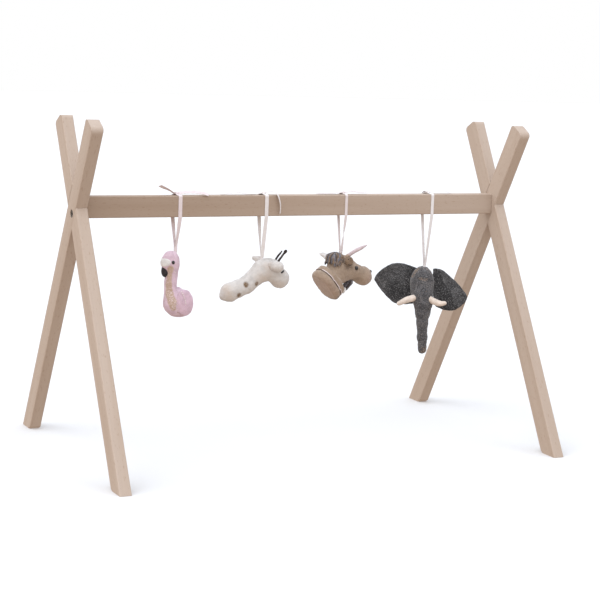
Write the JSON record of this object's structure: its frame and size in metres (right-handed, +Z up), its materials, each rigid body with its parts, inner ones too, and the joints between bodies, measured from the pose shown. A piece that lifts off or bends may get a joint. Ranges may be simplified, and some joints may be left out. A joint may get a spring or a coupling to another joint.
{
  "type": "activity play gym",
  "caption": "Wooden baby play gym: half-lapped X frames at both ends carry a crossbar with felt animal toys hanging from tied ribbons.",
  "frame": {"origin": "on the floor, under the middle of the crossbar", "axes": "+X along the crossbar, +Y to the back, +Z up"},
  "size_m": [0.73, 0.4554, 0.5026],
  "materials": {
    "beech": "planed and sanded beech, clear matt",
    "dowel_wood": "turned beech, plain",
    "bolt_steel": "dark nickel, satin",
    "insert_steel": "zinc, dull",
    "ribbon_pink": "narrow woven ribbon, matt",
    "ribbon_blush": "narrow woven ribbon, matt",
    "ribbon_white": "narrow woven ribbon, matt",
    "felt_pink": "needled wool felt, fuzzy",
    "felt_white": "needled wool felt, fuzzy",
    "felt_cream": "needled wool felt, fuzzy",
    "felt_tan": "needled wool felt, fuzzy",
    "felt_grey": "loose wool locks",
    "felt_charcoal": "needled wool felt, speckled",
    "felt_ivory": "smooth wool felt",
    "felt_black": "smooth wool felt",
    "bead_black": "glossy bead",
    "thread_black": "stitched thread"
  },
  "bodies": {
    "frame": {"left_outer_leg": "beech", "left_inner_leg": "beech", "right_outer_leg": "beech", "right_inner_leg": "beech", "crossbar": "beech", "left_bolt": "bolt_steel", "right_bolt": "bolt_steel", "left_insert": "insert_steel", "right_insert": "insert_steel", "left_dowel": "dowel_wood", "right_dowel": "dowel_wood"},
    "flamingo_loop": {"flamingo_ribbon_wrap": "ribbon_pink", "flamingo_ribbon_knot": "ribbon_pink", "flamingo_ribbon_tails": "ribbon_pink"},
    "flamingo_sling": {"flamingo_ribbon_strands": "ribbon_pink"},
    "flamingo_tie": {"flamingo_ribbon_end": "ribbon_pink"},
    "flamingo": {"flamingo_body": "felt_pink", "flamingo_left_wing": "felt_pink", "flamingo_right_wing": "felt_pink", "flamingo_cheeks": "felt_white", "flamingo_beak": "felt_black", "flamingo_eyes": "bead_black"},
    "giraffe_loop": {"giraffe_ribbon_wrap": "ribbon_white", "giraffe_ribbon_knot": "ribbon_white", "giraffe_ribbon_tails": "ribbon_white"},
    "giraffe_sling": {"giraffe_ribbon_strands": "ribbon_white"},
    "giraffe_tie": {"giraffe_ribbon_end": "ribbon_white"},
    "giraffe": {"giraffe_head_neck": "felt_cream", "giraffe_left_ear": "felt_cream", "giraffe_right_ear": "felt_cream", "giraffe_left_horn": "felt_black", "giraffe_right_horn": "felt_black", "giraffe_eyelids": "thread_black"},
    "gnu_loop": {"gnu_ribbon_wrap": "ribbon_blush", "gnu_ribbon_knot": "ribbon_blush", "gnu_ribbon_tails": "ribbon_blush"},
    "gnu_sling": {"gnu_ribbon_strands": "ribbon_blush"},
    "gnu_tie": {"gnu_ribbon_end": "ribbon_blush"},
    "gnu": {"gnu_head": "felt_tan", "gnu_neck_pad": "felt_tan", "gnu_left_horn": "felt_ivory", "gnu_right_horn": "felt_ivory", "gnu_left_ear": "felt_tan", "gnu_right_ear": "felt_tan", "gnu_mane": "felt_grey", "gnu_beard": "felt_grey", "gnu_eyes": "bead_black"},
    "elephant_loop": {"elephant_ribbon_wrap": "ribbon_white", "elephant_ribbon_knot": "ribbon_white", "elephant_ribbon_tails": "ribbon_white"},
    "elephant_sling": {"elephant_ribbon_strands": "ribbon_white"},
    "elephant_tie": {"elephant_ribbon_end": "ribbon_white"},
    "elephant": {"elephant_head_trunk": "felt_charcoal", "elephant_left_ear": "felt_charcoal", "elephant_right_ear": "felt_charcoal", "elephant_left_tusk": "felt_ivory", "elephant_right_tusk": "felt_ivory"}
  },
  "joints": [
    {"name": "flamingo_slide", "type": "slide", "parent": "frame", "child": "flamingo_loop", "axis": [1, 0, 0], "range_m": [-0.1, 0.018]},
    {"name": "flamingo_sway", "type": "hinge", "parent": "flamingo_loop", "child": "flamingo_sling", "pos_m": [-0.2015, 0, 0.3566], "axis": [-0.233, 0.9725, 0], "range_deg": [-12, 20]},
    {"name": "flamingo_nod", "type": "hinge", "parent": "flamingo_sling", "child": "flamingo_tie", "pos_m": [-0.2015, 0, 0.3146], "axis": [1, 0, 0], "range_deg": [-25, 25]},
    {"name": "flamingo_spin", "type": "hinge", "parent": "flamingo_tie", "child": "flamingo", "pos_m": [-0.2015, 0, 0.31], "axis": [0, 0, 1], "range_deg": [-180, 180]},
    {"name": "giraffe_slide", "type": "slide", "parent": "frame", "child": "giraffe_loop", "axis": [1, 0, 0], "range_m": [-0.018, 0.012]},
    {"name": "giraffe_sway", "type": "hinge", "parent": "giraffe_loop", "child": "giraffe_sling", "pos_m": [-0.0594, 0, 0.3566], "axis": [-0.1892, 0.9819, 0], "range_deg": [-10, 10]},
    {"name": "giraffe_nod", "type": "hinge", "parent": "giraffe_sling", "child": "giraffe_tie", "pos_m": [-0.0594, 0, 0.2946], "axis": [1, 0, 0], "range_deg": [-25, 25]},
    {"name": "giraffe_spin", "type": "hinge", "parent": "giraffe_tie", "child": "giraffe", "pos_m": [-0.0594, 0, 0.29], "axis": [0, 0, 1], "range_deg": [-180, 180]},
    {"name": "gnu_slide", "type": "slide", "parent": "frame", "child": "gnu_loop", "axis": [1, 0, 0], "range_m": [-0.018, 0.012]},
    {"name": "gnu_sway", "type": "hinge", "parent": "gnu_loop", "child": "gnu_sling", "pos_m": [0.0778, 0, 0.3566], "axis": [-0.1793, 0.9838, 0], "range_deg": [-10, 10]},
    {"name": "gnu_nod", "type": "hinge", "parent": "gnu_sling", "child": "gnu_tie", "pos_m": [0.0778, 0, 0.2996], "axis": [1, 0, 0], "range_deg": [-25, 25]},
    {"name": "gnu_spin", "type": "hinge", "parent": "gnu_tie", "child": "gnu", "pos_m": [0.0778, 0, 0.295], "axis": [0, 0, 1], "range_deg": [-180, 180]},
    {"name": "elephant_slide", "type": "slide", "parent": "frame", "child": "elephant_loop", "axis": [1, 0, 0], "range_m": [-0.012, 0.045]},
    {"name": "elephant_sway", "type": "hinge", "parent": "elephant_loop", "child": "elephant_sling", "pos_m": [0.2317, 0, 0.3566], "axis": [-0.3295, 0.9442, 0], "range_deg": [-20, 8]},
    {"name": "elephant_nod", "type": "hinge", "parent": "elephant_sling", "child": "elephant_tie", "pos_m": [0.2317, 0, 0.2766], "axis": [1, 0, 0], "range_deg": [-25, 25]},
    {"name": "elephant_spin", "type": "hinge", "parent": "elephant_tie", "child": "elephant", "pos_m": [0.2317, 0, 0.272], "axis": [0, 0, 1], "range_deg": [-180, 180]}
  ]
}
